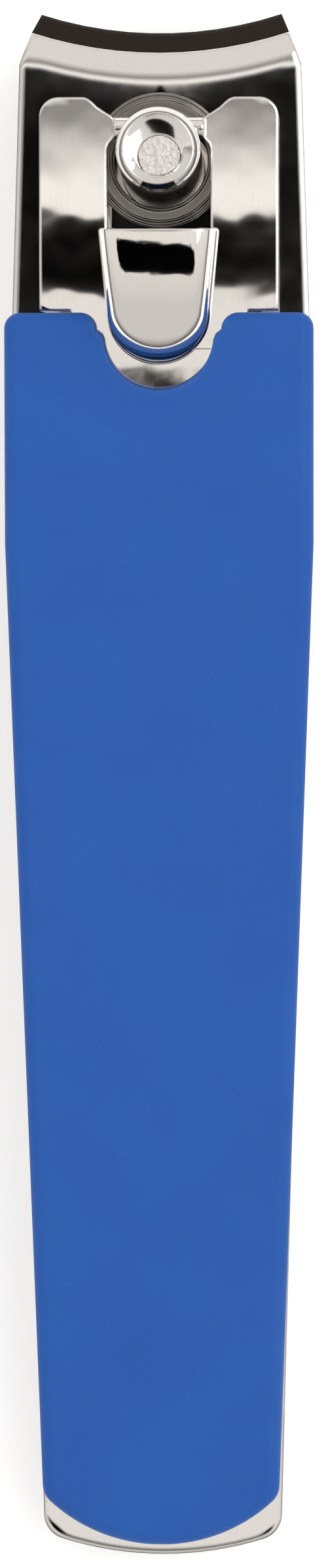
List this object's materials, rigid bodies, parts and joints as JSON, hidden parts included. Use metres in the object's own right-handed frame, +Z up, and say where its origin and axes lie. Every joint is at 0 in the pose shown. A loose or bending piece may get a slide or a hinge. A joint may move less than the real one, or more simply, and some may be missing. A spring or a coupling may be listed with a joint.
{
  "type": "lever nail clipper",
  "caption": "Large lever nail clipper with concave jaws, a turning post and a flip-over lever with a soft blue grip, in its stored position.",
  "frame": {"origin": "under the middle of the clipper's bounding box, in the plane of the two feet that it lies on", "axes": "+Y toward the cutting jaws, +Z up through the stored lever, +X to the right seen from above"},
  "size_m": [0.016, 0.082, 0.0156],
  "materials": {
    "blade_steel": "polished nickel-chrome plate on spring steel",
    "rivet_steel": "bright plated",
    "post_steel": "turned and plated",
    "washer_steel": "dull stamped steel",
    "lever_chrome": "polished chrome plate",
    "blue_grip": "smooth soft vinyl, low sheen"
  },
  "bodies": {
    "lower_arm": {"lower_blade": "blade_steel", "rear_rivet": "rivet_steel"},
    "upper_arm": {"upper_blade": "blade_steel", "post_washer": "washer_steel"},
    "post": {"pivot_post": "post_steel"},
    "lever_arm": {"lever": "lever_chrome", "lever_grip": "blue_grip"}
  },
  "joints": [
    {"name": "jaw_close", "type": "hinge", "parent": "lower_arm", "child": "upper_arm", "pos_m": [0, -0.0335, 0.0023], "axis": [-1, 0, 0], "range_deg": [0, 1.8], "stiffness_Nm_per_rad": 65},
    {"name": "post_turn", "type": "hinge", "parent": "lower_arm", "child": "post", "pos_m": [0, 0.033, 0], "axis": [0, 0, 1], "continuous": true},
    {"name": "lever_flip", "type": "hinge", "parent": "post", "child": "lever_arm", "pos_m": [0, 0.0343, 0.0112], "axis": [-1, 0, 0], "range_deg": [0, 160]}
  ]
}
